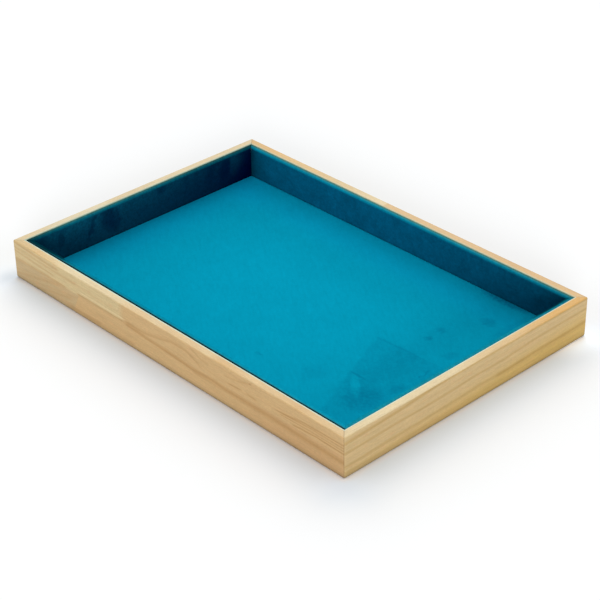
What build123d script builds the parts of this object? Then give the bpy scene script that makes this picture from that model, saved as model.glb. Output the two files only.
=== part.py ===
from build123d import *

import os

# Display tray: a mitred pine frame with padded suede walls and a suede floor.
# Frame of the part: origin at the centre of the underside, +X along the long side,
# +Y towards the back rail, +Z up. All sizes are in millimetres.

# Driving dimensions of the frame
length = 350.0
width = 239.0
height = 31.7
rail_thickness = 6.7

# Edges of the frame, softened by sanding
outer_top_radius = 1.0
inner_top_radius = 0.5
foot_radius = 1.4
corner_radius = 1.3
mitre_glue_line = 0.06

# Base panel and the rebate under the rails that holds it
base_thickness = 2.5
base_recess = 0.8
rebate_width = 3.2
base_side_clearance = 0.3

# Panel pins that hold the base panel
base_pin_diameter = 1.0
base_pin_length = 10.0
base_pin_head_diameter = 1.8
base_pin_head_thickness = 0.5
base_pins_per_long_rail = 4
base_pins_per_short_rail = 3
base_pin_end_margin = 30.0

# Headless pins across the mitres
corner_pin_diameter = 0.65
corner_pin_length = 14.0
corner_pin_depth = 0.8
corner_pin_foot_margin = 11.0
corner_pin_rim_margin = 8.0
pin_clearance = 0.02

# Wall strips: board, foam and suede
wall_board_thickness = 2.0
wall_foam_thickness = 1.2
suede_thickness = 0.5
wall_turn_in = 7.0
wall_back_radius = 0.3
wall_drop = 0.4
wall_glue_line = 0.1
front_wall_gap = 0.9
wall_mitre_gap = 0.1

# Floor pad: board and suede
floor_board_thickness = 1.8
floor_turn_in = 12.0
floor_edge_radius = 0.8
floor_clearance = 0.3

# Sizes worked out from the ones above
board_front = suede_thickness + wall_board_thickness
wall_thickness = board_front + wall_foam_thickness + suede_thickness
panel_top = base_recess + base_thickness
wall_top = height - wall_drop
wall_height = wall_top - panel_top
wall_roll_radius = wall_foam_thickness + suede_thickness
inner_half_length = length / 2 - rail_thickness
inner_half_width = width / 2 - rail_thickness
cavity_half_length = inner_half_length - wall_glue_line - wall_thickness
cavity_back = inner_half_width - wall_glue_line - wall_thickness
cavity_front = -(inner_half_width - front_wall_gap - wall_thickness)

sides = ("front", "back", "left", "right")
from_below = (Align.CENTER, Align.CENTER, Align.MIN)


def block(size_x, size_y, z_low, z_high):
    """A box centred on the origin in plan, between two heights."""
    return Pos(0, 0, z_low) * Box(size_x, size_y, z_high - z_low, align=from_below)


def pin(start, direction, diameter, pin_length):
    """A round pin from a start point along a direction."""
    return extrude(Plane(origin=start, z_dir=direction) * Circle(diameter / 2), amount=pin_length)


def mitre_slice(side, x_low, x_high, y_low, y_high, gap):
    """The space beside one side of a rectangle, between 45 degree cuts through its two corners."""
    corners = {
        "front": (Vector(x_low, y_low), Vector(x_high, y_low)),
        "right": (Vector(x_high, y_low), Vector(x_high, y_high)),
        "back": (Vector(x_high, y_high), Vector(x_low, y_high)),
        "left": (Vector(x_low, y_high), Vector(x_low, y_low)),
    }
    first, second = corners[side]
    along = (second - first).normalized()
    inward = Vector(-along.Y, along.X)
    reach = rail_thickness + wall_thickness
    step = gap / 2 * 2 ** 0.5
    outline = Polyline(
        first + along * (step - reach) - inward * reach,
        first + along * (step + reach) + inward * reach,
        second - along * (step + reach) + inward * reach,
        second - along * (step - reach) - inward * reach,
        close=True,
    )
    return Pos(0, 0, -height) * extrude(make_face(outline), amount=3 * height)


def rail_mitre(side):
    """The space of one rail, between the mitres at its two ends."""
    return mitre_slice(side, -length / 2, length / 2, -width / 2, width / 2, mitre_glue_line)


def wall_mitre(side):
    """The space of one wall strip, between the mitres at its two ends."""
    return mitre_slice(
        side, -cavity_half_length, cavity_half_length, cavity_front, cavity_back, wall_mitre_gap
    )


def upright_edges(solid):
    """The vertical edges of a solid."""
    return solid.edges().filter_by(Axis.Z)


def top_edges(solid):
    """The outline of a solid's top face."""
    return solid.edges().group_by(Axis.Z)[-1]


def bottom_edges(solid):
    """The outline of a solid's bottom face."""
    return solid.edges().group_by(Axis.Z)[0]


def frame_outside():
    """The outside of the frame, its edges rounded with the largest radius first."""
    outside = block(length, width, 0, height)
    roundings = [
        (corner_radius, upright_edges),
        (outer_top_radius, top_edges),
        (foot_radius, bottom_edges),
    ]
    roundings.sort(key=lambda rounding: -rounding[0])
    for radius, find_edges in roundings:
        outside = fillet(find_edges(outside), radius)
    return outside


def rail_frame():
    """All four rails as one ring, before the mitre cuts."""
    ring = frame_outside() - block(2 * inner_half_length, 2 * inner_half_width, -height, 2 * height)
    rebate_length = 2 * (inner_half_length + rebate_width)
    rebate_depth = 2 * (inner_half_width + rebate_width)
    ring -= block(rebate_length, rebate_depth, -height, panel_top)
    inner_rim = [edge for edge in top_edges(ring) if is_inner(edge.center())]
    return fillet(inner_rim, inner_top_radius)


def is_inner(point):
    """Whether a point lies on the inner faces of the frame and not further out."""
    slack = 0.01
    return abs(point.X) < inner_half_length + slack and abs(point.Y) < inner_half_width + slack


def base_pin_places():
    """Centres of the base pins in plan, along the middle of the rebate."""
    line_x = inner_half_length + rebate_width / 2
    line_y = inner_half_width + rebate_width / 2
    places = []
    for share in shares(base_pins_per_long_rail):
        along = share * (length / 2 - base_pin_end_margin)
        places += [(along, -line_y), (along, line_y)]
    for share in shares(base_pins_per_short_rail):
        along = share * (width / 2 - base_pin_end_margin)
        places += [(-line_x, along), (line_x, along)]
    return places


def shares(count):
    """Evenly spaced places from -1 to 1."""
    return [2 * index / (count - 1) - 1 for index in range(count)]


def base_pin_solids(clearance):
    """The base pins, each a shank with a flat head flush with the underside of the base panel."""
    pins = []
    for x, y in base_pin_places():
        foot = (x, y, base_recess)
        shank = pin(foot, (0, 0, 1), base_pin_diameter + 2 * clearance, base_pin_length + clearance)
        head_diameter = base_pin_head_diameter + 2 * clearance
        head = pin(foot, (0, 0, 1), head_diameter, base_pin_head_thickness + clearance)
        pins.append(shank + head)
    return pins


def corner_pin_solids(clearance):
    """Headless pins that enter through the long rails and run on along the short rails."""
    pins = []
    line_x = length / 2 - rail_thickness / 2
    start_y = width / 2 - corner_pin_depth + clearance
    for side_x in (-1, 1):
        for side_y in (-1, 1):
            for level in (corner_pin_foot_margin, height - corner_pin_rim_margin):
                start = (side_x * line_x, side_y * start_y, level)
                pin_length = corner_pin_length + 2 * clearance
                diameter = corner_pin_diameter + 2 * clearance
                pins.append(pin(start, (0, -side_y, 0), diameter, pin_length))
    return pins


def rails():
    """The four mitred rails with their pin holes, by node name."""
    frame = rail_frame()
    holes = base_pin_solids(pin_clearance) + corner_pin_solids(pin_clearance)
    return {side + "_rail": (frame & rail_mitre(side)) - holes for side in sides}


def base_panel():
    """The hardboard bottom, let into the rebate, with holes for its pins."""
    panel_length = 2 * (inner_half_length + rebate_width - base_side_clearance)
    panel_width = 2 * (inner_half_width + rebate_width - base_side_clearance)
    panel = block(panel_length, panel_width, base_recess, panel_top)
    return panel - base_pin_solids(pin_clearance)


def strip_outline(inset):
    """
    Cross-section of a wall strip, set in by a margin all round.
    Its x runs from the rail into the tray and its y is the height above the base panel.
    """
    top = wall_height - inset
    front = wall_thickness - inset
    roll = wall_roll_radius - inset
    back_top = max(wall_back_radius - inset, 0)
    lines = Line((inset, inset), (front, inset))
    lines += Line((front, inset), (front, top - roll))
    lines += RadiusArc((front, top - roll), (front - roll, top), -roll)
    lines += Line((front - roll, top), (inset + back_top, top))
    if back_top > 0:
        lines += RadiusArc((inset + back_top, top), (inset, top - back_top), -back_top)
    lines += Line((inset, top - back_top), (inset, inset))
    return make_face(lines)


def board_outline():
    """Cross-section of a wall strip's stiff board, behind the foam."""
    return strip_outline(suede_thickness) & strip_band(0, board_front)


def foam_outline():
    """Cross-section of a wall strip's foam, in front of the board."""
    return strip_outline(suede_thickness) & strip_band(board_front, wall_thickness)


def suede_outline():
    """Cross-section of a wall strip's suede, open behind between its two turn-ins."""
    shell = strip_outline(0) - strip_outline(suede_thickness)
    opening_height = wall_height - 2 * wall_turn_in
    opening = Pos(suede_thickness / 2, wall_height / 2) * Rectangle(suede_thickness, opening_height)
    return shell - opening


def strip_band(x_low, x_high):
    """A tall band of the strip's cross-section between two distances from its back."""
    middle = (x_low + x_high) / 2
    return Pos(middle, wall_height / 2) * Rectangle(x_high - x_low, 2 * wall_height)


def strip_plane(side):
    """Where a wall strip's cross-section stands: at mid-length, with its back against the rail."""
    back_x = inner_half_length - wall_glue_line
    back_y = inner_half_width - wall_glue_line
    front_y = inner_half_width - front_wall_gap
    places = {
        "front": (Vector(0, -front_y, panel_top), Vector(0, 1, 0)),
        "back": (Vector(0, back_y, panel_top), Vector(0, -1, 0)),
        "left": (Vector(-back_x, 0, panel_top), Vector(1, 0, 0)),
        "right": (Vector(back_x, 0, panel_top), Vector(-1, 0, 0)),
    }
    foot, inward = places[side]
    return Plane(origin=foot, x_dir=inward, z_dir=inward.cross(Vector(0, 0, 1)))


def wall_piece(side, outline):
    """One layer of a wall strip, run along its rail and mitred at both ends."""
    run = length if side in ("front", "back") else width
    bar = extrude(strip_plane(side) * outline, amount=run / 2, both=True)
    return bar & wall_mitre(side)


def wall_strips():
    """Board, foam and suede of the four wall strips, by node name."""
    layers = {"board": board_outline(), "foam": foam_outline(), "suede": suede_outline()}
    return {
        f"{side}_wall_{layer}": wall_piece(side, outline)
        for side in sides
        for layer, outline in layers.items()
    }


def floor_block(inset, z_low, z_high):
    """A slab between the wall strips, set in all round from the edge of the floor pad."""
    x_size = 2 * (cavity_half_length - floor_clearance - inset)
    y_size = cavity_back - cavity_front - 2 * (floor_clearance + inset)
    y_middle = (cavity_back + cavity_front) / 2
    return Pos(0, y_middle, 0) * block(x_size, y_size, z_low, z_high)


def floor_pad():
    """The floor pad: a board with suede stretched over it and turned in underneath."""
    board_low = panel_top + suede_thickness
    board_high = board_low + floor_board_thickness
    top = board_high + suede_thickness
    board = floor_block(suede_thickness, board_low, board_high)
    cover = floor_block(0, panel_top, top)
    cover = fillet(top_edges(cover), floor_edge_radius)
    cover -= board
    cover -= floor_block(suede_thickness + floor_turn_in, panel_top, board_low)
    return {"floor_board": board, "floor_suede": cover}


def tray():
    """Every piece of the tray, by node name."""
    pieces = rails()
    pieces["base_panel"] = base_panel()
    pieces["base_pins"] = Compound(base_pin_solids(0))
    pieces["corner_pins"] = Compound(corner_pin_solids(0))
    pieces.update(wall_strips())
    pieces.update(floor_pad())
    return pieces


os.makedirs("parts", exist_ok=True)
for name, piece in tray().items():
    export_step(piece, f"parts/{name}.step")
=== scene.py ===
import math
from collections import namedtuple

import bmesh
import bpy
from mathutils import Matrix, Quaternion, Vector, noise


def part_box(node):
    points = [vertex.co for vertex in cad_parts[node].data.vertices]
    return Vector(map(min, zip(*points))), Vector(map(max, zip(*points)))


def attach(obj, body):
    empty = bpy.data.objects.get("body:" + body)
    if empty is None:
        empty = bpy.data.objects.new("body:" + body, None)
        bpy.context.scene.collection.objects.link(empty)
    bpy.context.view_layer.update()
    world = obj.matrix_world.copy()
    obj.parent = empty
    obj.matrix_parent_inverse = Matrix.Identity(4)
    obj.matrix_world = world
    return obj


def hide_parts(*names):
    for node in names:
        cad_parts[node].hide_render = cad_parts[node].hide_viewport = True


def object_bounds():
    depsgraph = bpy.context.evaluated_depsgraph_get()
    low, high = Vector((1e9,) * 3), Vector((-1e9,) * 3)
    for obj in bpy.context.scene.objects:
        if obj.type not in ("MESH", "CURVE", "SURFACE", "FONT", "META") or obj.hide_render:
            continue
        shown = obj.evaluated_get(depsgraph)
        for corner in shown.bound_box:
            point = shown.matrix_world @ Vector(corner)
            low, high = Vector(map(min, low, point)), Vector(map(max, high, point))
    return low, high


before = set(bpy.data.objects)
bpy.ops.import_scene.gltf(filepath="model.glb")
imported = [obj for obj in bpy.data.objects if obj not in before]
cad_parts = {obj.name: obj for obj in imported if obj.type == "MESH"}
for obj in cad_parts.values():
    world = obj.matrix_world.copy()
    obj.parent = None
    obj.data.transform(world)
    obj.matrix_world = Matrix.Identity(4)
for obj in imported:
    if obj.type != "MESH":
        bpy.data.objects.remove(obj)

# A shallow pine tray lined with teal suede: four padded wall strips and a stretched floor cover.
# Lengths are in metres, in the frame of the CAD model. Patterns in materials are in millimetres.

cad_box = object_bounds()

MM = 0.001
SIDES = ("front", "back", "left", "right")

# Camera, fitted to the straight edges of the tray in the photograph
camera_place = Vector((0.8112, -0.7484, 0.6814))
camera_target = Vector((-0.0012, 0.0089, 0.0))
camera_roll = math.radians(-0.82)
camera_lens = 106.8
camera_sensor = 36.0

# Light: an even dome and soft lamps. The shares are of the light on a level face.
Lamp = namedtuple("Lamp", "name azimuth elevation half_angle share")
sky_share = 0.665
lamps = (
    Lamp("behind", 137, 35, 30, 0.285),
    Lamp("before", 317, 12, 10, 0.07),
)

# Room: how much light its floor throws back, and how bright the camera sees it. Beside the tray the
# camera sees painted shade on it: a cooler tint over the shadow, a warm contact shade at the foot of the
# front and right sides, and a grey shade behind the back and left sides, each reaching so far, in
# millimetres
room_half_size = 4.0
floor_bounce = 0.7
floor_seen = (1.0, 1.012, 1.018)
shade_seen = (0.91, 0.99, 1.08)
shade_reach = 24.0
contact_shade_tint = (0.96, 0.925, 0.9)
contact_shade_reach = 3.0
shade_behind_tint = (0.91, 0.925, 0.935)
shade_behind_reach = 60.0

# Painted light and shade on the floor beside corners of the tray, lighter beside two of them and darker
# beside a third, as the camera sees it, in millimetres: place, reach along each axis and gain
painted_corner_light = (
    (175.0, 106.0, 12.0, 16.0, 0.42),
    (175.0, -119.5, 16.0, 16.0, 0.13),
    (-177.0, -122.0, 10.0, 13.0, -0.2),
)

# Padded wall strips
crown_height = 0.18 * MM
wave_height = 0.12 * MM
wave_length = 45 * MM
strip_ring_step = 4 * MM
strip_end_radius = 0.2 * MM
strip_foot_radius = 0.5 * MM
strip_back_radius = 0.3 * MM
least_radius = 0.02 * MM
strip_face_steps = 12
wall_turn_in = 7 * MM
foam_slack = 0.03 * MM

# Suede: how strong its grain is, which way it is brushed, the painted shade in the crevice behind the
# front strip, and how far in from the outside the warm light of the wood beside a strip is painted on
# its top, in millimetres
wall_grain = 0.2
left_wall_grain = 0.34
floor_grain = 0.075
brush_cosine, brush_sine = 0.82, 0.57
crevice_start = 7.9
crevice_width = 1.0
warm_from, warm_to = 7.0, 10.2

# Meshes
sharp_angle = math.radians(50)
weld_distance = 0.001 * MM

# Floor cover
floor_edge_radius = 0.8 * MM
floor_under_radius = 0.3 * MM
floor_turn_in = 12 * MM
floor_flat_margin = 10 * MM
floor_grid_step = 4 * MM
floor_wave_height = 0.05 * MM
floor_wave_length = 38 * MM


def srgb(red, green, blue):
    """A colour given as seen on a screen, 0 to 255, as linear light."""
    shares = (channel / 255 for channel in (red, green, blue))
    return tuple(c / 12.92 if c <= 0.04045 else ((c + 0.055) / 1.055) ** 2.4 for c in shares)


class Value:
    """A number that varies over a surface. Its arithmetic adds nodes to the material."""

    def __init__(self, surface, socket):
        self.surface = surface
        self.socket = socket

    def __add__(self, other):
        return self.surface.math("ADD", self, other)

    def __sub__(self, other):
        return self.surface.math("SUBTRACT", self, other)

    def __rsub__(self, other):
        return self.surface.math("SUBTRACT", other, self)

    def __mul__(self, other):
        return self.surface.math("MULTIPLY", self, other)

    def __truediv__(self, other):
        return self.surface.math("DIVIDE", self, other)

    def __pow__(self, other):
        return self.surface.math("POWER", self, other)

    __radd__ = __add__
    __rmul__ = __mul__


class Surface:
    """A material whose node tree is written as formulas of the place on the object, in millimetres."""

    def __init__(self, name):
        self.material = bpy.data.materials.new(name)
        self.material.use_nodes = True
        self.tree = self.material.node_tree
        self.tree.nodes.clear()
        place = self.node("ShaderNodeTexCoord").outputs["Object"]
        scaled = self.node("ShaderNodeVectorMath", operation="SCALE")
        self.tree.links.new(place, scaled.inputs[0])
        scaled.inputs["Scale"].default_value = 1 / MM
        parts = self.node("ShaderNodeSeparateXYZ")
        self.tree.links.new(scaled.outputs[0], parts.inputs[0])
        self.x, self.y, self.z = (Value(self, parts.outputs[axis]) for axis in "XYZ")

    def node(self, kind, **settings):
        made = self.tree.nodes.new(kind)
        for setting, value in settings.items():
            setattr(made, setting, value)
        return made

    def fill(self, socket, value):
        """Links a varying value to a socket, or writes a constant into it."""
        if isinstance(value, Value):
            self.tree.links.new(value.socket, socket)
        elif isinstance(value, tuple) and len(socket.default_value) == 4:
            socket.default_value = (*value, 1)
        else:
            socket.default_value = value

    def math(self, operation, *values):
        made = self.node("ShaderNodeMath", operation=operation)
        for socket, value in zip(made.inputs, values):
            self.fill(socket, value)
        return Value(self, made.outputs[0])

    def absolute(self, value):
        return self.math("ABSOLUTE", value)

    def smooth(self, value, low, high):
        """0 where the value is below low, 1 where it is above high, and a soft step between."""
        made = self.node("ShaderNodeMapRange", interpolation_type="SMOOTHSTEP")
        self.fill(made.inputs["Value"], value)
        self.fill(made.inputs["From Min"], low)
        self.fill(made.inputs["From Max"], high)
        return Value(self, made.outputs["Result"])

    def noise(self, x, y, z, detail=2.0, seed=0.0):
        """Smooth noise from about -1 to 1, one bump for each unit of x, y and z."""
        point = self.node("ShaderNodeCombineXYZ")
        for socket, value in zip(point.inputs, (x + seed, y, z)):
            self.fill(socket, value)
        made = self.node("ShaderNodeTexNoise")
        self.tree.links.new(point.outputs[0], made.inputs["Vector"])
        made.inputs["Scale"].default_value = 1.0
        made.inputs["Detail"].default_value = detail
        return (Value(self, made.outputs[0]) - 0.5) * 2.0

    def grit(self, size, **settings):
        """Noise with bumps of one size in every direction."""
        return self.noise(self.x / size, self.y / size, self.z / size, **settings)

    def random(self, value):
        """A steady random number from 0 to 1 for each whole value."""
        made = self.node("ShaderNodeTexWhiteNoise", noise_dimensions="1D")
        self.fill(made.inputs["W"], value)
        return Value(self, made.outputs["Value"])

    def blend(self, first, second, share, clamped=True):
        """One colour turning into another. Not clamped, the share may go beyond either colour."""
        made = self.node("ShaderNodeMix", data_type="RGBA", clamp_factor=clamped)
        self.fill(made.inputs["Factor"], share)
        colours_in = [socket for socket in made.inputs if socket.type == "RGBA"]
        self.fill(colours_in[0], first)
        self.fill(colours_in[1], second)
        return Value(self, next(socket for socket in made.outputs if socket.type == "RGBA"))

    def shade(self, colour, factor):
        """A colour made lighter or darker."""
        made = self.node("ShaderNodeVectorMath", operation="SCALE")
        self.fill(made.inputs[0], colour)
        self.fill(made.inputs["Scale"], factor)
        return Value(self, made.outputs[0])

    def follow(self, value, path):
        """A level that goes straight from point to point of a path, and stays flat beyond its ends."""
        level = path[0][1]
        for (start, low), (end, high) in zip(path, path[1:]):
            made = self.node("ShaderNodeMapRange", interpolation_type="LINEAR", clamp=True)
            self.fill(made.inputs["Value"], value)
            self.fill(made.inputs["From Min"], start)
            self.fill(made.inputs["From Max"], end)
            self.fill(made.inputs["To Max"], high - low)
            level = Value(self, made.outputs["Result"]) + level
        return level

    def bell(self, value, width):
        """A smooth bump: 1 where the value is 0, falling off over a width to each side."""
        return self.math("EXPONENT", (value / width) ** 2.0 * -1.0)

    def spot(self, across, along, half_across, half_along):
        """1 at the middle of a soft oval, 0 outside it."""
        reach = (across / half_across) ** 2.0 + (along / half_along) ** 2.0
        return 1.0 - self.smooth(reach, 0.0, 1.0)

    def finish(self, colour, roughness, relief, **constants):
        """Joins the colour, the roughness and the relief, which is a height in millimetres."""
        shader = self.node("ShaderNodeBsdfPrincipled")
        self.fill(shader.inputs["Base Color"], colour)
        self.fill(shader.inputs["Roughness"], roughness)
        for name, value in constants.items():
            self.fill(shader.inputs[name.replace("_", " ")], value)
        bump = self.node("ShaderNodeBump")
        bump.inputs["Distance"].default_value = MM
        self.fill(bump.inputs["Height"], relief)
        self.tree.links.new(bump.outputs[0], shader.inputs["Normal"])
        output = self.node("ShaderNodeOutputMaterial")
        self.tree.links.new(shader.outputs[0], output.inputs["Surface"])
        return self.material


# Timber: a block's pith lies so far in from the rail's outer face and so far up, climbs along the
# rail, and has rings a spacing apart. Lines is how strongly they show, wood is the pale wood's colour.
Block = namedtuple("Block", "pith_in pith_up climb spacing lines wood")

# One ring where it comes out at an outer face: its height along the rail, how far it fades upwards
# and downwards, and how dark it is, or how light where the strength is negative
Line = namedtuple("Line", "path above below strength")

# What a rail is made of: its first block, the cuts to further ones, the lines drawn on its face, how
# pale its top is from place to place, the arch that its rings make, its late wood's colour, the
# colour of the painted highlight on its inner arris, tinted by the teal light of the suede, and how
# golden its top is at the outer side and at the inner side
Rail = namedtuple("Rail", "first cuts lines paleness arch late arris golden")

pale_pine = srgb(215, 193, 145)
yellow_pine = srgb(211, 184, 135)
honey_pine = srgb(211, 178, 105)
golden_pine = srgb(211, 177, 126)
orange_pine = srgb(206, 168, 119)
grey_pine = srgb(199, 174, 130)
late_wood = srgb(190, 150, 97)
golden_late_wood = srgb(184, 148, 80)
light_line = srgb(226, 203, 155)
top_pale = srgb(221, 202, 159)
top_golden = srgb(214, 165, 86)
rosy_pine = srgb(220, 166, 120)
green_pine = srgb(200, 183, 128)
resin = srgb(150, 98, 52)
glue_shade = 0.72
glue_offset = 0.45
# Painted shade at the foot of a rail: how light the wood is at heights above the floor, in millimetres
foot_shades = (
    (0.3, 0.45), (1.0, 0.54), (1.4, 0.6), (1.75, 0.7), (2.1, 0.77), (2.8, 0.845), (3.6, 0.93),
    (4.6, 0.98), (5.6, 1.0),
)
line_end = 2.5
corner_dim = 0.1
knot_run, knot_height, knot_share = 87.5, 29.7, 0.4


def picked(first, cuts, field):
    """One property of the timber, where each cut's mask says that its block takes over."""
    value = getattr(first, field)
    for mask, block in cuts:
        value = value + mask * (getattr(block, field) - value)
    return value


def drawn_lines(surface, lines, run, height):
    """How dark the drawn rings are at a place, and how light the light ones are."""
    dark, light = 0.0, 0.0
    for line in lines:
        wave = surface.noise(run / 14, 0.0, 0.0, seed=line.path[0][0]) * 0.25
        gap = height - surface.follow(run, line.path) + wave
        shape = surface.smooth(gap, -line.below, 0.0) * (1.0 - surface.smooth(gap, 0.0, line.above))
        first, last = line.path[0][0], line.path[-1][0]
        shape = shape * surface.smooth(run, first - line_end, first + line_end)
        shape = shape * (1.0 - surface.smooth(run, last - line_end, last + line_end))
        if line.strength > 0:
            dark = shape * line.strength + dark
        else:
            light = shape * -line.strength + light
    return dark, light


def rail_place(surface, side):
    """Where a point lies beside one rail: along it, and in from the outside of the tray."""
    low, high = (corner / MM for corner in cad_box)
    return {
        "front": (surface.x, surface.y - low.y),
        "back": (surface.x, high.y - surface.y),
        "left": (surface.y, surface.x - low.x),
        "right": (surface.y, high.x - surface.x),
    }[side]


def pine(side, rail):
    """Pine for one rail, cut from one block or from several joined end to end."""
    surface = Surface(f"pine_{side}")
    run, depth = rail_place(surface, side)
    height = surface.z
    high = cad_box[1] / MM
    seed = 17.0 * SIDES.index(side)
    rail_low, rail_high = (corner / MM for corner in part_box("front_rail"))
    rail_thickness = rail_high.y - rail_low.y
    first, cuts = rail.first, rail.cuts(surface, run, height)
    climb, spacing = picked(first, cuts, "climb"), picked(first, cuts, "spacing")
    wander = surface.noise(run / 80, depth / 20, height / 20, seed=seed) * 1.6
    wander += surface.noise(run / 17, depth / 6, height / 6, seed=seed + 3) * 0.35
    up = height - picked(first, cuts, "pith_up") - run * climb + wander
    if rail.arch:
        up = up - rail.arch(surface, run)
    inward = depth - picked(first, cuts, "pith_in")
    radius = (up * up + inward * inward) ** 0.5
    turn = radius / spacing
    phase = turn + surface.noise(turn * 0.7, 0.0, 0.0, seed=seed + 5) * 0.35
    ring = surface.math("FLOOR", phase)
    share = phase - ring
    late = surface.smooth(share, 0.35, 0.95) ** 2.0 * (1.0 - surface.smooth(share, 0.96, 1.0))
    late = late * (0.5 + surface.random(ring + seed) * 0.5) * picked(first, cuts, "lines")
    fibre = surface.noise(run / 11, depth / 0.8, height / 0.8, detail=3.0, seed=seed + 7)
    speck = surface.noise(run / 2.2, depth / 0.55, height / 0.55, detail=2.0, seed=seed + 8)
    canal = surface.smooth(
        surface.noise(run / 3.5, depth / 0.3, height / 0.3, detail=0.0, seed=seed + 9), 0.55, 0.8
    )
    broad = surface.noise(run / 45, depth / 9, height / 9, detail=3.0, seed=seed + 11)
    colour = first.wood
    for mask, block in cuts:
        colour = surface.blend(colour, block.wood, mask)
    colour = surface.blend(colour, orange_pine, surface.smooth(broad, 0.0, 0.8) * 0.7)
    flush = surface.noise(run / 8, depth / 3, height / 3, detail=3.0, seed=seed + 13)
    colour = surface.blend(colour, rosy_pine, surface.smooth(flush, 0.05, 0.7) * 0.45)
    colour = surface.blend(colour, green_pine, surface.smooth(flush * -1.0, 0.05, 0.7) * 0.3)
    dark, light = drawn_lines(surface, rail.lines, run, height)
    top = surface.smooth(height, high.z - 0.5, high.z - 0.1)
    colour = surface.blend(colour, rail.late, late + dark * (1.0 - top))
    colour = surface.blend(colour, light_line, light)
    outer_golden, inner_golden = rail.golden
    golden = surface.smooth(depth, 2.0, 5.0) * (inner_golden - outer_golden) + outer_golden
    colour = surface.blend(colour, top_golden, top * golden)
    paleness = surface.follow(run, rail.paleness)
    pale = surface.math("MAXIMUM", top * paleness, 0.0)
    colour = surface.blend(colour, top_pale, pale, clamped=False)
    colour = surface.blend(colour, top_golden, top * paleness * -1.0)
    # A painted highlight on the inner arris, tinted by the teal light of the suede
    inner = surface.smooth(depth, rail_thickness - 1.4, rail_thickness - 0.2)
    inner = inner * surface.smooth(height, high.z - 1.2, high.z - 0.6)
    colour = surface.blend(colour, rail.arris, inner)
    if side == "front":
        knot = surface.spot(run - knot_run, height - knot_height, 1.5, 1.0) * knot_share
        colour = surface.blend(colour, resin, knot)
    mitre = (surface.absolute(surface.x) - high.x) - (surface.absolute(surface.y) - high.y)
    glue = 1.0 - surface.smooth(surface.absolute(mitre + glue_offset), 0.1, 0.55)
    # Painted shade towards the foot
    edge = surface.follow(height, foot_shades)
    dim = top * surface.smooth(surface.x * -1.0, high.x - 40.0, high.x) * corner_dim
    streak = surface.noise(run / 26, depth / 1.9, height / 1.9, detail=2.0, seed=seed + 15)
    grain = fibre * 0.18 + speck * 0.17 + streak * 0.07 + broad * 0.06
    tone = (1.0 + grain - canal * 0.1 - glue * (1 - glue_shade) - dim) * edge
    colour = surface.shade(colour, tone)
    return surface.finish(
        colour,
        roughness=0.52 + fibre * 0.06 - late * 0.08,
        relief=fibre * 0.012 + late * 0.02 - canal * 0.03,
        Specular_IOR_Level=0.3,
    )


def plain_cut(surface, run, height):
    """A rail made of a single length of timber."""
    return []


def front_cuts(surface, run, height):
    """Two staves, one over the other, each of them finger-jointed from shorter blocks."""
    stave_line = surface.noise(run / 60, 0.0, 0.0, seed=2.0) * 0.6 + 17.0
    lower = surface.smooth(stave_line - height, -0.5, 0.5)
    lower_joint = surface.smooth(run - height * 0.5 + 105.0, -0.4, 0.4)
    return [
        (surface.smooth(run, -52.0, -43.0), Block(-14.0, -30.0, 0.0, 7.5, 0.2, golden_pine)),
        (surface.smooth(run, 93.3, 93.7), Block(-20.0, -60.0, 0.012, 2.6, 0.2, golden_pine)),
        (lower, Block(10.0, -40.0, 0.16, 6.5, 0.3, grey_pine)),
        (lower * lower_joint, Block(30.0, -62.0, -0.023, 13.0, 0.15, golden_pine)),
        (
            lower * surface.smooth(run, 60.0, 130.0),
            Block(30.0, -62.0, -0.023, 13.0, 0.15, orange_pine),
        ),
    ]


def right_cuts(surface, run, height):
    """One length of timber, more resinous towards its low far end."""
    resinous = surface.smooth(run * 0.08 - height, -20.0, 1.0)
    return [(resinous, Block(38.0, -74.0, 0.019, 9.0, 0.15, honey_pine))]


def front_arch(surface, run):
    """How far the rings swell upwards in the middle of the front rail."""
    return surface.bell(run - 12.0, 26.0) * 7.5


def back_cuts(surface, run, height):
    """Two blocks joined end to end, the right one redder."""
    return [(surface.smooth(run, -19.3, -18.9), Block(60.0, -50.0, -0.01, 6.0, 0.5, golden_pine))]


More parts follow.
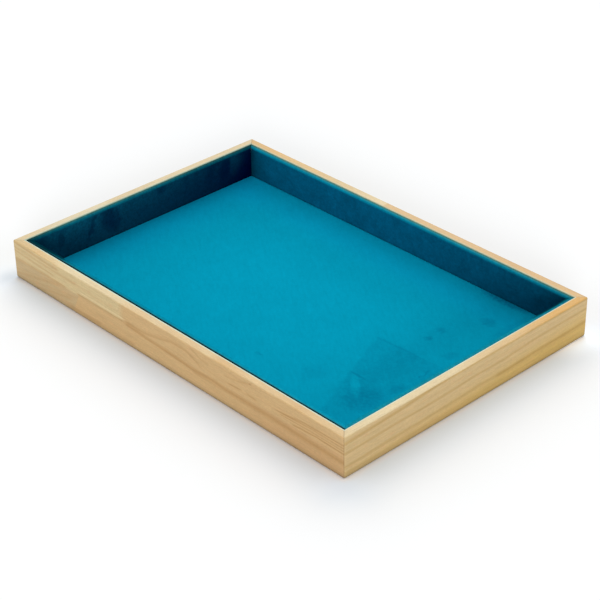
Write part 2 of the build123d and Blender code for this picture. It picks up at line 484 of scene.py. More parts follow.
rails = {
    "front": Rail(
        Block(-30.0, -52.0, -0.05, 8.0, 0.2, pale_pine),
        front_cuts,
        (
            Line(((-178, 31.4), (-134, 29.0), (-120, 28.6)), 1.4, 2.4, 0.45),
            Line(((-178, 26.8), (-140, 25.6), (-100, 25.0)), 1.8, 1.8, 0.3),
            Line(((-178, 29.4), (-134, 27.2), (-112, 26.8)), 1.0, 0.9, -0.35),
            Line(((-178, 24.0), (-150, 22.6), (-126, 21.4)), 1.4, 1.6, 0.4),
            Line(((-178, 20.4), (-130, 20.0)), 1.0, 0.8, -0.4),
            Line(((-178, 17.6), (-132, 17.8), (-112, 17.6)), 1.2, 1.8, 0.5),
            Line(((-178, 4.0), (-120, 16.0)), 1.6, 2.4, 0.35),
            Line(((-150, 2.0), (-106, 11.0)), 1.6, 2.4, 0.35),
            Line(((-96, 20.5), (-45, 20.5)), 1.0, 0.9, -1.0),
            Line(((-98, 18.3), (-45, 18.3)), 0.9, 2.0, 0.8),
            Line(((-108, 3.6), (-72, 4.2)), 2.4, 2.6, 0.35),
            Line(((-112, 3.8), (-34, 4.4)), 2.4, 2.6, 0.3),
            Line(((30, 12.4), (105, 12.0), (178, 11.2)), 1.6, 2.6, 0.45),
            Line(((-43, 17.4), (-20, 15.8), (0, 15.2), (27, 13.6), (51, 14.3), (64, 13.6), (105, 13.6),
                  (136, 12.9), (178, 12.4)), 3.2, 1.8, 0.85),
            Line(((-42, 19.4), (-21, 19.0), (0, 23.3), (7, 25.3), (23, 25.5), (29, 23.1), (38, 19.3)),
                 2.4, 1.3, 0.5),
            Line(((28, 29.8), (38, 25.8), (46, 24.9)), 2.0, 1.2, 0.45),
            Line(((62, 24.2), (77, 26.4), (88, 29.8)), 1.6, 1.2, 0.4),
            Line(((66, 19.9), (79, 20.8)), 1.0, 0.8, 0.9),
            Line(((84, 20.6), (93, 19.8)), 1.6, 1.0, 0.7),
            Line(((118, 22.2), (140, 25.0), (178, 25.7)), 1.3, 1.0, 0.75),
            Line(((112, 21.8), (146, 23.6), (178, 23.4)), 1.1, 0.9, 0.8),
            Line(((116, 20.4), (146, 21.4), (178, 21.2)), 1.0, 0.8, 0.75),
            Line(((128, 18.2), (150, 19.6), (178, 18.9)), 1.2, 1.0, 1.0),
        ),
        ((-172, -0.15), (-147, -0.35), (-130, -0.1), (-112, 0.9), (-95, 0.8), (-78, 0.6), (-60, 0.7),
         (-43, 0.5), (-26, 0.3), (-10, 0.6), (0, 0.25), (30, 0.3), (43, 0.5), (58, -0.1), (85, 0.3),
         (110, 0.25), (130, 0.0), (147, 0.2), (172, 0.3)),
        front_arch,
        late_wood,
        srgb(196, 239, 226),
        (0.22, 0.08),
    ),
    "back": Rail(
        Block(55.0, -62.0, 0.015, 7.5, 0.5, pale_pine),
        back_cuts,
        (),
        ((-165, -0.6), (-147, -0.68), (-129, -0.5), (-111, -0.38), (-95, -0.33), (-77, -0.1),
         (-60, 0.05), (-43, 0.5), (-21, 0.8), (-18, 0.05), (60, 0.08), (100, 0.0), (130, -0.05),
         (172, 0.05)),
        None,
        late_wood,
        srgb(190, 192, 162),
        (0.08, 0.24),
    ),
    "left": Rail(
        Block(42.0, -75.0, -0.012, 8.5, 0.5, pale_pine),
        plain_cut,
        (),
        ((-117, 0.4), (-92, 1.0), (-75, 1.7), (-58, 1.5), (-42, 1.9), (-28, 0.6), (-10, 0.6), (12, 0.9),
         (60, 0.85), (110, 0.6)),
        None,
        late_wood,
        srgb(180, 198, 176),
        (0.05, 0.17),
    ),
    "right": Rail(
        Block(38.0, -74.0, 0.019, 9.0, 0.15, yellow_pine),
        right_cuts,
        (
            Line(((-124, 26.6), (-70, 28.6), (-50, 30.0), (-36, 31.2), (0, 31.6), (70, 31.6),
                  (124, 31.2)), 2.6, 2.0, 0.6),
            Line(((-124, 19.0), (-70, 19.9), (-50, 19.6), (-20, 20.0), (0, 21.0), (30, 20.6), (44, 21.6),
                  (67, 22.7), (124, 23.1)), 2.1, 1.7, 0.5),
            Line(((-124, 8.8), (-76, 10.0), (-58, 9.8), (-14, 10.5), (5, 11.4), (36, 10.9), (67, 12.2),
                  (92, 12.2), (124, 12.8)), 2.2, 2.4, 0.45),
            Line(((24, 10.4), (67, 11.4), (92, 11.6), (124, 12.0)), 2.8, 4.0, 0.35),
            Line(((-124, 4.0), (0, 4.6), (124, 5.5)), 2.0, 2.0, 0.3),
        ),
        ((-117, 0.6), (-95, 0.95), (-55, 0.9), (-10, 0.75), (5, 0.35), (20, 0.05), (42, -0.1),
         (58, -0.45), (75, -0.8), (92, -1.1), (108, -1.0), (117, -1.0)),
        None,
        golden_late_wood,
        srgb(214, 229, 208),
        (0.2, 0.12),
    ),
}


def soft_fabric(name, find_colour, grain, seed):
    """Brushed suede: fine fibres and a mottled nap over a colour that varies from place to place."""
    surface = Surface(name)
    x, y, z = surface.x, surface.y, surface.z
    pile = surface.grit(0.5, seed=seed)
    tuft = surface.grit(1.4, detail=3.0, seed=seed + 2)
    mottle = surface.grit(4.2, detail=3.0, seed=seed + 4)
    cloud = surface.grit(28, detail=3.0, seed=seed + 8)
    brush_along = x * brush_cosine - y * brush_sine
    brush_across = x * brush_sine + y * brush_cosine
    brushed = surface.noise(brush_along / 9, brush_across / 1.8, z / 1.8, detail=3.0, seed=seed + 6)
    tone = 1.0 + (pile * 0.6 + tuft + mottle * 0.8 + brushed * 1.1) * grain + cloud * 0.05
    return surface.finish(
        surface.shade(find_colour(surface), tone),
        roughness=0.94 + mottle * 0.04,
        relief=pile * 0.04 + tuft * 0.03 + mottle * 0.03,
        Specular_IOR_Level=0.0,
        Sheen_Weight=0.05,
        Sheen_Roughness=0.5,
        Sheen_Tint=srgb(0, 190, 215),
    )


# The floor's nap, its darker nap that also paints shade, and a bluer tint for painted shade
floor_nap = srgb(4, 153, 185)
floor_dark_nap_and_shade = srgb(3, 121, 155)
floor_painted_shade = srgb(4, 153, 197)

# The patch of nap brushed the other way: the corner where two of its edges meet and how they slant,
# and the light streak in it: its middle and its direction
patch_x, patch_y = 79.6, 6.7
patch_left_slant, patch_top_slant = 0.403, 0.076
streak_x, streak_y = 112.0, -47.3
streak_cosine, streak_sine = 0.735, 0.678

# Marks on the floor's nap, in millimetres: place, half widths, and how dark, or light where negative.
# Those at the foot of the back wall, along the left wall and in the far left corner are painted shade.
floor_marks = (
    (121.8, 76.6, 7.5, 6.5, 0.5),
    (104.5, 45.2, 5.5, 4.5, 0.4),
    (106.6, 31.2, 5.0, 4.0, 0.45),
    (134.8, -3.9, 1.7, 8.5, 0.35),
    (135.0, -30.0, 5.0, 10.0, 0.3),
    (133.0, 26.0, 7.0, 8.0, 0.25),
    (127.0, -54.0, 17.0, 20.0, 0.45),
    (81.0, -56.0, 11.0, 15.0, 0.18),
    (37.0, -67.0, 4.0, 1.6, 0.4),
    (112.0, 107.0, 30.0, 6.5, 1.0),
    (140.0, 85.0, 8.0, 30.0, 0.3),
    (-164.0, 98.0, 10.0, 22.0, 0.8),
    (-164.0, 42.0, 5.0, 26.0, 0.4),
    (-150.0, -20.0, 16.0, 60.0, 0.1),
    (110.0, 18.0, 14.0, 120.0, 0.12),
)


def floor_colour(surface):
    """The floor's nap, darker where it is brushed the other way, with painted light and shade."""
    x, y = surface.x, surface.y
    ragged = surface.noise(x / 7, y / 7, 0.0, detail=4.0, seed=31.0)
    fine = surface.noise(x / 2.5, y / 2.5, 0.0, detail=3.0, seed=37.0)
    left_edge = x - patch_x - (patch_y - y) * patch_left_slant + ragged * 2.0
    top_edge = patch_y + (x - patch_x) * patch_top_slant - y + fine * 0.6
    patch = surface.smooth(left_edge, -1.5, 2.5) * surface.smooth(top_edge, -0.5, 0.9)
    fold = surface.bell(top_edge, 1.1) * surface.smooth(x, 78.0, 82.0)
    fold = fold * (1.0 - surface.smooth(x, 108.0, 120.0))
    crease = surface.spot(x - 105.5, y + 37.0 + fine, 10.0, 1.4)
    streak_along = (x - streak_x) * streak_cosine - (y - streak_y) * streak_sine
    streak_across = (x - streak_x) * streak_sine + (y - streak_y) * streak_cosine
    streak = surface.spot(streak_across + ragged, streak_along, 4.0, 18.0)
    marks = patch * (0.24 + ragged * 0.25 + fine * 0.15) + fold * 0.27 + crease * 0.4 - streak * 0.45
    for across, along, half_across, half_along, strength in floor_marks:
        spot = surface.spot(x - across + ragged * 5.0, y - along + fine * 2.5, half_across, half_along)
        marks += spot * (1.0 + fine * 0.7) * strength
    nap = surface.blend(floor_nap, floor_dark_nap_and_shade, marks, clamped=False)
    # Painted shade: a bluer tint towards the back wall and towards the left wall
    painted_shade = surface.bell(y - 88.0, 14.0) * 0.35 + (1.0 - surface.smooth(x, -164.0, -110.0)) * 0.6
    nap = surface.blend(nap, floor_painted_shade, painted_shade)
    # Painted light and shade from place to place along the floor and across it
    along = surface.follow(x, ((-158, 1.01), (-130, 0.94), (-100, 0.97), (-60, 1.02), (60, 1.01),
                               (85, 0.98), (105, 0.95), (125, 0.95), (137, 1.0), (150, 1.0)))
    across = surface.follow(y, ((-85, 1.08), (-60, 1.03), (-40, 1.0), (20, 0.99), (60, 0.93), (90, 0.98),
                                (98, 1.05), (102, 1.12), (105, 1.22)))
    return surface.shade(nap, along * across)


# Suede of the wall strips: the colour of the rolled top and that of the face under it, and how much
# light each gives from place to place along the strip, which is painted light and shade, darker towards
# the corners. The face is darker than the top partly by the lie of its nap and partly by painted shade.
# Deep is the colour of the face where it is painted in full shade. The face's path leans by so much per
# height, so that a corner's painted shade reaches further lower down, the face is painted lighter by its
# rise towards the top, and the top's colour reaches so far down. The light that the wood beside it
# throws is painted on the top as a warm tint of so much. A painted shadow on the inner part of the top
# begins and is full at two distances in from the outside, and is so deep from place to place.
Wall = namedtuple(
    "Wall",
    "top top_shades face deep face_shades lean rise roll warmth shadow_from shadow_to shadow",
)
# Painted shade towards both ends of a strip
even_ends = ((-160, 0.8), (-120, 1.0), (120, 1.0), (160, 0.8))
walls = {
    "front": Wall(
        srgb(4, 138, 166),
        ((-168, 0.15), (-145, 0.3), (-134, 0.68), (-126, 1.0), (-112, 0.8), (-75, 0.88), (0, 0.98),
         (75, 1.1), (165, 1.1)),
        srgb(3, 89, 120), (0.0, 0.0, 0.0), even_ends, 0.0, 0.0, 3.2, 0.28,
        8.0, 9.5, ((-160, 0.5), (-145, 0.78), (-128, 0.84), (-114, 0.05), (-100, 0.0)),
    ),
    "back": Wall(
        srgb(4, 134, 164),
        ((-166, 0.68), (-158, 0.9), (-120, 0.93), (-90, 0.96), (-60, 1.0), (0, 0.98), (60, 1.02),
         (100, 0.95), (135, 0.84), (160, 0.76)),
        srgb(3, 89, 121), (0.0, 0.0, 0.0),
        ((-166, 0.35), (-158, 0.7), (-146, 0.95), (-125, 1.02), (10, 0.99), (40, 0.92), (90, 0.8),
         (130, 0.7), (150, 0.58), (164, 0.5)),
        0.0, 0.0, 2.0, 0.7,
        8.7, 11.0, ((-100, 0.05), (0, 0.2), (60, 0.28)),
    ),
    "left": Wall(
        srgb(5, 99, 120),
        ((-112, 0.3), (-104, 0.45), (-92, 0.65), (-75, 0.86), (-45, 0.84), (0, 0.82), (30, 0.72),
         (50, 0.58), (85, 0.55), (95, 0.48), (108, 0.38)),
        srgb(3, 51, 74), srgb(0, 10, 46),
        ((-112, 0.9), (-100, 1.3), (-79, 1.4), (-60, 1.25), (-35, 1.15), (0, 0.95), (13, 0.86),
         (30, 0.72), (55, 0.5), (70, 0.35), (85, 0.2), (96, 0.05), (108, -0.1)),
        0.8, 0.45, 1.7, 0.5,
        8.0, 11.0, ((0, 0.0), (110, 0.0)),
    ),
    "right": Wall(
        srgb(6, 132, 155), ((-110, 1.05), (0, 1.05), (60, 0.95), (90, 0.85), (108, 0.75)),
        srgb(3, 89, 119), (0.0, 0.0, 0.0), even_ends, 0.0, 0.0, 3.2, 0.1,
        8.0, 9.5, ((55, 0.0), (70, 0.35), (80, 0.82), (97, 0.87), (108, 0.6)),
    ),
}

# Upright marks on the nap of the left strip: place along it, height, half width, half height, lean and
# how dark, or light where negative
upright_marks = (
    (-37, 23, 12, 16, -0.25, 0.6),
    (-55, 22, 3.5, 15, 0.35, 0.45),
    (-83, 23, 4, 13, 0.1, 0.35),
    (14, 28, 7, 6, 0.0, 0.4),
    (40, 25, 5, 9, -0.2, 0.2),
    (66, 25, 8, 13, 0.2, 0.3),
    (92, 24, 9, 13, 0.0, -2.0),
    (79, 22, 6, 14, 0.2, 0.5),
)
# Painted shade in the crevice behind the front strip, and painted warm light from the wood
crevice_shade = srgb(24, 50, 54)
wood_light_tint = srgb(80, 126, 92)


def wall_colour(side):
    """The nap of one wall strip, with upright marks, and its painted light and shade."""
    wall = walls[side]

    def find_colour(surface):
        run, depth = rail_place(surface, side)
        rim = (cad_box[1] / MM).z
        up = surface.z - rim / 2
        # Where the rolled top takes the top's colour: the suede painted as lit from above
        level = surface.smooth(surface.z, rim - wall.roll, rim - 0.6)
        upright = surface.noise(surface.x / 7, surface.y / 7, surface.z / 30, detail=4.0, seed=9.0)
        blotch = surface.grit(8, detail=4.0, seed=14.0)
        patch = surface.grit(3, detail=4.0, seed=24.0)
        # Painted light and shade along the face, and painted lighter towards its top
        tone = surface.follow(run - up * wall.lean, wall.face_shades)
        tone = tone * (1.0 + upright * 0.15 + blotch * 0.25 + patch * 0.15)
        tone = tone * (1.0 + surface.smooth(up, 0.0, rim / 2) * wall.rise)
        for place, height, half_width, half_height, lean, strength in upright_marks if side == "left" else ():
            across = run - place - (surface.z - height) * lean + blotch * 7.0 + patch * 3.0
            spot = surface.spot(across, surface.z - height + upright * 4.0, half_width, half_height)
            tone = tone * (1.0 - spot * strength)
        # Painted warm light that the wood beside the strip throws on its top
        near_wood = 1.0 - surface.smooth(depth, warm_from, warm_to)
        top = surface.blend(wall.top, wood_light_tint, near_wood * wall.warmth)
        # A painted shadow on the inner part of the top
        inner_part = surface.smooth(depth, wall.shadow_from, wall.shadow_to)
        shadow = surface.follow(run, wall.shadow) * inner_part
        top = surface.shade(top, surface.follow(run, wall.top_shades) * (1.0 - shadow))
        colour = surface.blend(wall.deep, wall.face, tone, clamped=False)
        colour = surface.blend(colour, top, level)
        # Painted shade in the crevice behind the front strip
        if side == "front":
            waver = surface.noise(run / 22, 0.0, 0.0, detail=3.0, seed=42.0) * 0.35
            waver += surface.smooth(run, 0.0, 160.0) * 0.2
            gap = surface.smooth(depth - crevice_start + waver, 0.0, crevice_width)
            colour = surface.blend(crevice_shade, colour, gap)
        return colour

    return find_colour


def greyboard():
    """Recycled board: grey-brown pulp with dark and pale flecks."""
    surface = Surface("greyboard")
    pulp = surface.grit(1.5, detail=4.0)
    fleck = surface.smooth(surface.grit(0.6, seed=6.0), 0.35, 0.6)
    colour = surface.blend(srgb(158, 150, 139), srgb(112, 104, 95), fleck)
    return surface.finish(surface.shade(colour, 1.0 + pulp * 0.12), 0.9 + pulp * 0.05, pulp * 0.03)


def hardboard():
    """Pressed wood fibre, brown, with a faint pattern of matted fibres."""
    surface = Surface("hardboard")
    mat = surface.grit(2.2, detail=5.0)
    strand = surface.noise(surface.x / 5.0, surface.y / 0.5, surface.z / 0.5, seed=4.0)
    cloud = surface.grit(45, seed=8.0)
    colour = surface.blend(srgb(139, 101, 67), srgb(97, 66, 42), 0.45 + mat * 0.5 + strand * 0.15)
    return surface.finish(
        surface.shade(colour, 1.0 + cloud * 0.12), 0.62 + mat * 0.1, mat * 0.03 + strand * 0.01
    )


def foam():
    """Open-celled upholstery foam."""
    surface = Surface("foam")
    cell = surface.grit(0.7, detail=3.0)
    colour = surface.blend(srgb(236, 231, 214), srgb(196, 188, 165), surface.smooth(cell, -0.2, 0.6))
    return surface.finish(colour, 0.95 + cell * 0.04, cell * 0.12)


def steel():
    """Bright drawn wire with light scratches."""
    surface = Surface("steel")
    scratch = surface.noise(surface.x / 0.08, surface.y / 0.08, surface.z / 1.5, detail=3.0)
    tarnish = surface.grit(0.9, seed=3.0)
    colour = surface.blend(srgb(196, 194, 190), srgb(150, 146, 140), 0.4 + tarnish * 0.5)
    return surface.finish(colour, 0.34 + scratch * 0.12, scratch * 0.004, Metallic=1.0)


def give_material(piece, material):
    """Puts one material on every slot of a piece."""
    if not piece.material_slots:
        piece.data.materials.append(material)
    for slot in piece.material_slots:
        slot.material = material


def dress_cad():
    """Materials for the CAD nodes that stay."""
    board = greyboard()
    pin_steel = steel()
    for side in SIDES:
        give_material(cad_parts[f"{side}_rail"], pine(side, rails[side]))
        give_material(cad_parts[f"{side}_wall_board"], board)
    give_material(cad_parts["floor_board"], board)
    give_material(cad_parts["base_panel"], hardboard())
    give_material(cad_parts["base_pins"], pin_steel)
    give_material(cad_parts["corner_pins"], pin_steel)


def mesh_piece(name, points, faces):
    """A shaded object made of points and faces."""
    mesh = bpy.data.meshes.new(name)
    mesh.from_pydata(points, [], faces)
    mesh.validate()
    mesh.shade_smooth()
    mesh.set_sharp_from_angle(angle=sharp_angle)
    piece = bpy.data.objects.new(name, mesh)
    bpy.context.scene.collection.objects.link(piece)
    return piece


def arc(middle_depth, middle_height, radius, first, last, steps=4):
    """Points of an arc in a cross-section. Angles are in degrees: 0 faces the tray, 90 is up."""
    angles = (math.radians(first + (last - first) * step / steps) for step in range(steps + 1))
    return [
        (middle_depth + radius * math.cos(angle), middle_height + radius * math.sin(angle))
        for angle in angles
    ]


class Strip:
    """One wall strip: where it stands and its cross-section, read from the CAD."""

    def __init__(self, side):
        self.side = side
        self.across = 1 if side in ("front", "back") else 0
        self.along = 1 - self.across
        self.inward = 1 if side in ("front", "left") else -1
        low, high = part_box(f"{side}_wall_suede")
        board_low, board_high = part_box(f"{side}_wall_board")
        self.back = low[self.across] if self.inward > 0 else high[self.across]
        self.thickness = high[self.across] - low[self.across]
        self.cloth = board_low.z - low.z
        self.board_front = board_high[self.across] - board_low[self.across] + self.cloth
        self.foot = low.z
        self.height = high.z - low.z
        self.first, self.last = low[self.along], high[self.along]
        self.roll = self.thickness - self.board_front
        self.floor_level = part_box("floor_suede")[1].z - self.foot

    def face(self, inset, low_height):
        """The front of the strip, from its rolled top down, set in by a margin."""
        top, front = self.height - self.roll, self.thickness - inset
        steps = strip_face_steps
        down = [(front, top + (low_height - top) * step / steps) for step in range(1, steps)]
        roll = arc(self.thickness - self.roll, top, self.roll - inset, 90, 0, 8)
        foot_radius = max(strip_foot_radius - inset, least_radius)
        foot = arc(front - foot_radius, inset + foot_radius, foot_radius, 0, -90, 3)
        return roll + down + foot

    def cover_line(self, inset, turn_in):
        """One face of the suede, from its upper turn-in over the front to its lower turn-in."""
        radius = strip_back_radius - inset if inset < strip_back_radius else least_radius
        upper = arc(inset + radius, self.height - inset - radius, radius, 180, 90, 3)
        lower = arc(inset + radius, inset + radius, radius, -90, -180, 3)
        start, end = (inset, self.height - turn_in), (inset, turn_in)
        return [start] + upper + self.face(inset, strip_foot_radius) + lower + [end]

    def puffed(self, run, depth, height):
        """Moves a point of the padding outwards: a slight crown and a slight unevenness."""
        share = depth / self.thickness
        span = self.height - self.roll - self.floor_level
        level = min(max((height - self.floor_level) / span, 0), 1)
        seed = 10 * SIDES.index(self.side)
        swell = crown_height * math.sin(math.pi * level)
        swell += wave_height * level * noise.noise(Vector((run / wave_length, height / (15 * MM), seed)))
        sag = wave_height * noise.noise(Vector((run / wave_length, seed + 5, share)))
        lift = sag * share * (height / self.height) ** 4 * share
        return depth + swell * share ** 3, height + lift

    def place(self, run, depth, height):
        """A point of the cross-section at one place along the strip, in the frame."""
        depth, height = self.puffed(run, depth, height)
        point = Vector((0, 0, self.foot + height))
        point[self.across] = self.back + self.inward * depth
        point[self.along] = run
        return point

    def sweep(self, section, end_radius):
        """Runs a closed cross-section along the strip between its mitres, with softened ends."""
        angles = [math.radians(angle) for angle in (90, 60, 30, 0)]
        ends = [(end_radius * (1 - math.sin(a)), end_radius * (1 - math.cos(a))) for a in angles]
        if end_radius == 0:
            ends = [(0, 0)]
        middle = round((self.last - self.first) / strip_ring_step)
        rings = [(0, offset, inset) for offset, inset in ends]
        rings += [(step / middle, 0, 0) for step in range(1, middle)]
        rings += [(1, -offset, inset) for offset, inset in reversed(ends)]
        points = []
        for share, offset, inset in rings:
            for depth, height in section(inset):
                start, end = self.first + depth, self.last - depth
                points.append(self.place(start + share * (end - start) + offset, depth, height))
        count = len(points) // len(rings)
        faces = [
            (ring * count + at, ring * count + (at + 1) % count,
             (ring + 1) * count + (at + 1) % count, (ring + 1) * count + at)
            for ring in range(len(rings) - 1)
            for at in range(count)
        ]
        return points, faces, count

    def cover(self):
        """The suede: a sheet wrapped round the strip and turned in behind."""

        def section(inset):
            outside = self.cover_line(inset, wall_turn_in)
            inside = self.cover_line(self.cloth, wall_turn_in)
            return outside + inside[::-1]

        points, faces, count = self.sweep(section, strip_end_radius)
        half = count // 2
        last = len(points) - count
        for at in range(half - 1):
            quad = (at, at + 1, count - 2 - at, count - 1 - at)
            faces.append(quad[::-1])
            faces.append(tuple(last + corner for corner in quad))
        return self.piece("cover", points, faces)

    def padding(self):
        """The foam between the board and the suede."""

        def section(inset):
            front = self.face(self.cloth + foam_slack, strip_foot_radius)
            back = self.board_front + foam_slack
            return [(back, front[0][1])] + front[1:-1] + [(back, front[-1][1])]

        points, faces, count = self.sweep(section, 0)
        last = len(points) - count
        faces.append(tuple(range(count))[::-1])
        faces.append(tuple(last + at for at in range(count)))
        return self.piece("padding", points, faces)

    def piece(self, name, points, faces):
        """A finished piece. The frame's axes mirror the cross-section of two of the sides."""
        if self.side in ("front", "right"):
            faces = [face[::-1] for face in faces]
        return mesh_piece(f"{self.side}_wall_{name}", points, faces)


def rounded_rectangle(half_x, half_y, offset, steps_x, steps_y, corner_steps=4):
    """Points round a rectangle pushed outwards by an offset, with round corners, or inwards."""
    points = []
    for turn in range(4):
        long_half, short_half = (half_x, half_y) if turn % 2 == 0 else (half_y, half_x)
        steps = steps_x if turn % 2 == 0 else steps_y
        reach = long_half if offset >= 0 else long_half + offset
        side = [(reach * (2 * step / steps - 1), -short_half - offset) for step in range(steps)]
        bow = max(offset, 0)
        drop = min(offset, 0)
        corner = [
            (
                long_half + drop + bow * math.sin(math.pi / 2 * step / corner_steps),
                -short_half - drop - bow * math.cos(math.pi / 2 * step / corner_steps),
            )
            for step in range(corner_steps)
        ]
        cosine, sine = round(math.cos(turn * math.pi / 2)), round(math.sin(turn * math.pi / 2))
        points += [(x * cosine - y * sine, x * sine + y * cosine) for x, y in side + corner]
    return points


def floor_cover():
    """The suede of the floor: stretched over its board, round the edge and in underneath."""
    low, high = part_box("floor_suede")
    board_low, board_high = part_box("floor_board")
    cloth = high.z - board_high.z
    middle = (low + high) / 2
    radius = floor_edge_radius
    half_x, half_y = (high.x - low.x) / 2 - radius, (high.y - low.y) / 2 - radius
    steps_x, steps_y = round(2 * half_x / floor_grid_step), round(2 * half_y / floor_grid_step)
    under = floor_under_radius
    bends = [math.radians(angle) for angle in (0, 30, 60, 90)]
    rings = [(radius * math.sin(a), high.z - radius * (1 - math.cos(a))) for a in bends]
    rings += [(radius - under * (1 - math.cos(a)), low.z + under * (1 - math.sin(a))) for a in bends]
    rings += [(radius - floor_turn_in * step / 3, low.z) for step in range(1, 4)]
    points, faces = [], []
    for row in range(steps_y + 1):
        for column in range(steps_x + 1):
            x = half_x * (2 * column / steps_x - 1)
            y = half_y * (2 * row / steps_y - 1)
            edge = min(half_x - abs(x), half_y - abs(y)) / floor_flat_margin
            lift = noise.noise(Vector((x, y, 0.0)) / floor_wave_length) * min(edge, 1)
            points.append(Vector((x, y, high.z - floor_wave_height + lift * floor_wave_height)))
            if row < steps_y and column < steps_x:
                corner = row * (steps_x + 1) + column
                faces.append((corner, corner + 1, corner + steps_x + 2, corner + steps_x + 1))
    start = len(points)
    count = len(rounded_rectangle(half_x, half_y, 0, steps_x, steps_y))
    for ring, (offset, height) in enumerate(rings):
        level = height - (floor_wave_height if ring == 0 else 0)
        outline = rounded_rectangle(half_x, half_y, offset, steps_x, steps_y)
        points += [Vector((x, y, level)) for x, y in outline]
        for at in range(count if ring else 0):
            inner, outer = start + (ring - 1) * count, start + ring * count
            following = (at + 1) % count
            faces.append((inner + at, outer + at, outer + following, inner + following))
    points = [point + Vector((middle.x, middle.y, 0)) for point in points]
    piece = mesh_piece("floor_cover", points, faces)
    weld(piece)
    shell = piece.modifiers.new("cloth", "SOLIDIFY")
    shell.thickness = cloth
    shell.offset = -1
    width = high.y - low.y
    length = high.x - low.x
    side = high.z - low.z
    inner = (length - 2 * floor_turn_in) * (width - 2 * floor_turn_in)
    area = 2 * length * width - inner + 2 * side * (length + width)
    return piece


def weld(piece):
    """Joins points that lie on each other."""
    shape = bmesh.new()
    shape.from_mesh(piece.data)
    bmesh.ops.remove_doubles(shape, verts=shape.verts, dist=weld_distance)
    shape.to_mesh(piece.data)
    shape.free()


def dress_walls():
    """The suede covers and the foam of the four wall strips."""
    foam_material = foam()
    for side in SIDES:
        strip = Strip(side)
        cover, padding = strip.cover(), strip.padding()
        seed = 50.0 + SIDES.index(side)
        grain = left_wall_grain if side == "left" else wall_grain
        give_material(cover, soft_fabric(f"suede_{side}", wall_colour(side), grain, seed))
        give_material(padding, foam_material)
        for piece, node, slot in (
            (cover, f"{side}_wall_suede", "wall_suede"),
            (padding, f"{side}_wall_foam", "foam"),
        ):
            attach(piece, "root")
            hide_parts(node)


def dress_floor():
    """The suede of the floor pad."""
    cover = floor_cover()
    give_material(cover, soft_fabric("suede_floor", floor_colour, floor_grain, 20.0))
    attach(cover, "root")
    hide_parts("floor_suede")


def make_room():
    """A white floor that keeps the tray's shadow, and painted shade and light beside the tray."""
    surface = Surface("studio_floor")
    bounce = surface.node("ShaderNodeBsdfDiffuse")
    surface.fill(bounce.inputs["Color"], (floor_bounce, floor_bounce, floor_bounce))
    seen = surface.node("ShaderNodeBsdfDiffuse")
    half_x, half_y = cad_box[1].x / MM, cad_box[1].y / MM
    out_x = surface.math("MAXIMUM", surface.absolute(surface.x) - half_x, 0.0)
    out_y = surface.math("MAXIMUM", surface.absolute(surface.y) - half_y, 0.0)
    distance = (out_x * out_x + out_y * out_y) ** 0.5
    # Painted shade for the camera beside the tray: a cooler tint that fades with the distance
    painted_shade = surface.blend(floor_seen, shade_seen, surface.bell(distance, shade_reach))
    # Painted warm contact shade at the foot of the front and right sides
    near_sides = surface.smooth(surface.x, -half_x, 4 - half_x)
    near_sides = near_sides * (1.0 - surface.smooth(surface.y, half_y - 4, half_y))
    painted_contact = surface.bell(distance, contact_shade_reach) * near_sides
    painted_contact = surface.blend(painted_shade, contact_shade_tint, painted_contact)
    # Painted grey shade behind the back and left sides
    behind = surface.bell(distance, shade_behind_reach)
    far_sides = surface.math("MAXIMUM", surface.y - half_y, surface.x * -1.0 - half_x)
    behind = behind * surface.smooth(far_sides, 0.0, 40.0)
    # Painted light and shade beside corners of the tray
    painted_corner_gain = 1.0
    for across, along, reach_across, reach_along, gain in painted_corner_light:
        spot = surface.bell(surface.x - across, reach_across)
        spot = spot * surface.bell(surface.y - along, reach_along)
        painted_corner_gain = spot * gain + painted_corner_gain
    colour = surface.blend(painted_contact, shade_behind_tint, behind)
    surface.fill(seen.inputs["Color"], surface.shade(colour, painted_corner_gain))
    rays = surface.node("ShaderNodeLightPath")
    mix = surface.node("ShaderNodeMixShader")
    surface.tree.links.new(rays.outputs["Is Camera Ray"], mix.inputs[0])
    surface.tree.links.new(bounce.outputs[0], mix.inputs[1])
    surface.tree.links.new(seen.outputs[0], mix.inputs[2])
    output = surface.node("ShaderNodeOutputMaterial")
    surface.tree.links.new(mix.outputs[0], output.inputs["Surface"])
    reach = room_half_size
    corners = [(-reach, -reach, 0), (reach, -reach, 0), (reach, reach, 0), (-reach, reach, 0)]
    room = mesh_piece("studio_floor", corners, [(0, 1, 2, 3)])
    give_material(room, surface.material)


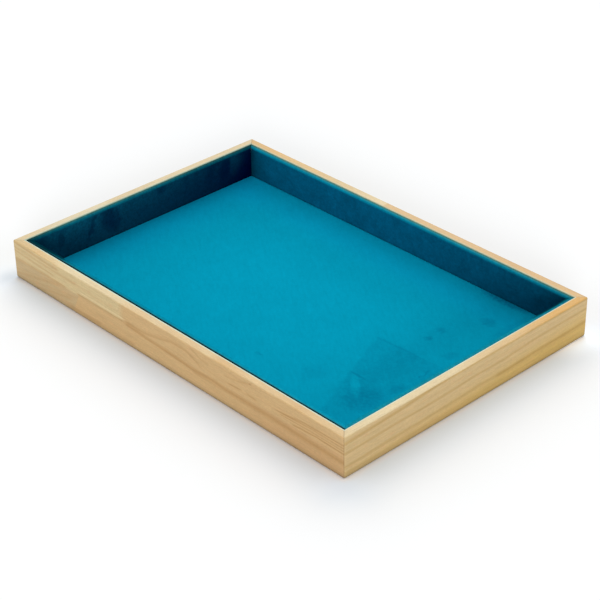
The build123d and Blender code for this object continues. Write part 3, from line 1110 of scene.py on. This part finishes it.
def make_sky():
    """An even dome that looks white to the camera and in reflections."""
    world = bpy.data.worlds.new("studio")
    bpy.context.scene.world = world
    world.use_nodes = True
    tree = world.node_tree
    tree.nodes.clear()
    dome, white = tree.nodes.new("ShaderNodeBackground"), tree.nodes.new("ShaderNodeBackground")
    dome.inputs["Strength"].default_value = sky_share
    white.inputs["Strength"].default_value = 1.0
    for shader in (dome, white):
        shader.inputs["Color"].default_value = (1, 1, 1, 1)
    rays = tree.nodes.new("ShaderNodeLightPath")
    seen = rays.outputs["Is Camera Ray"]
    for kind in ("Is Glossy Ray", "Is Transmission Ray"):
        either = tree.nodes.new("ShaderNodeMath")
        either.operation = "MAXIMUM"
        tree.links.new(seen, either.inputs[0])
        tree.links.new(rays.outputs[kind], either.inputs[1])
        seen = either.outputs[0]
    mix = tree.nodes.new("ShaderNodeMixShader")
    tree.links.new(seen, mix.inputs[0])
    tree.links.new(dome.outputs[0], mix.inputs[1])
    tree.links.new(white.outputs[0], mix.inputs[2])
    output = tree.nodes.new("ShaderNodeOutputWorld")
    tree.links.new(mix.outputs[0], output.inputs["Surface"])


def make_lamps():
    """Soft lamps, each a disc of light very far away."""
    for lamp in lamps:
        azimuth, elevation = math.radians(lamp.azimuth), math.radians(lamp.elevation)
        light = bpy.data.lights.new(lamp.name, "SUN")
        light.energy = math.pi * lamp.share / math.sin(elevation)
        light.angle = math.radians(2 * lamp.half_angle)
        holder = bpy.data.objects.new(lamp.name, light)
        level = math.cos(elevation)
        towards = Vector((level * math.cos(azimuth), level * math.sin(azimuth), math.sin(elevation)))
        holder.rotation_mode = "QUATERNION"
        holder.rotation_quaternion = towards.to_track_quat("Z", "Y")
        bpy.context.scene.collection.objects.link(holder)


def make_camera():
    """The photograph's camera."""
    lens = bpy.data.cameras.new("camera")
    lens.lens = camera_lens
    lens.sensor_width = camera_sensor
    camera = bpy.data.objects.new("camera", lens)
    camera.location = camera_place
    camera.rotation_mode = "QUATERNION"
    aim = (camera_target - camera_place).to_track_quat("-Z", "Y")
    camera.rotation_quaternion = aim @ Quaternion((0, 0, 1), camera_roll)
    bpy.context.scene.collection.objects.link(camera)
    bpy.context.scene.camera = camera


make_camera()
make_sky()
make_lamps()
make_room()
dress_cad()
dress_walls()
dress_floor()
bpy.context.scene.view_settings.view_transform = "Standard"
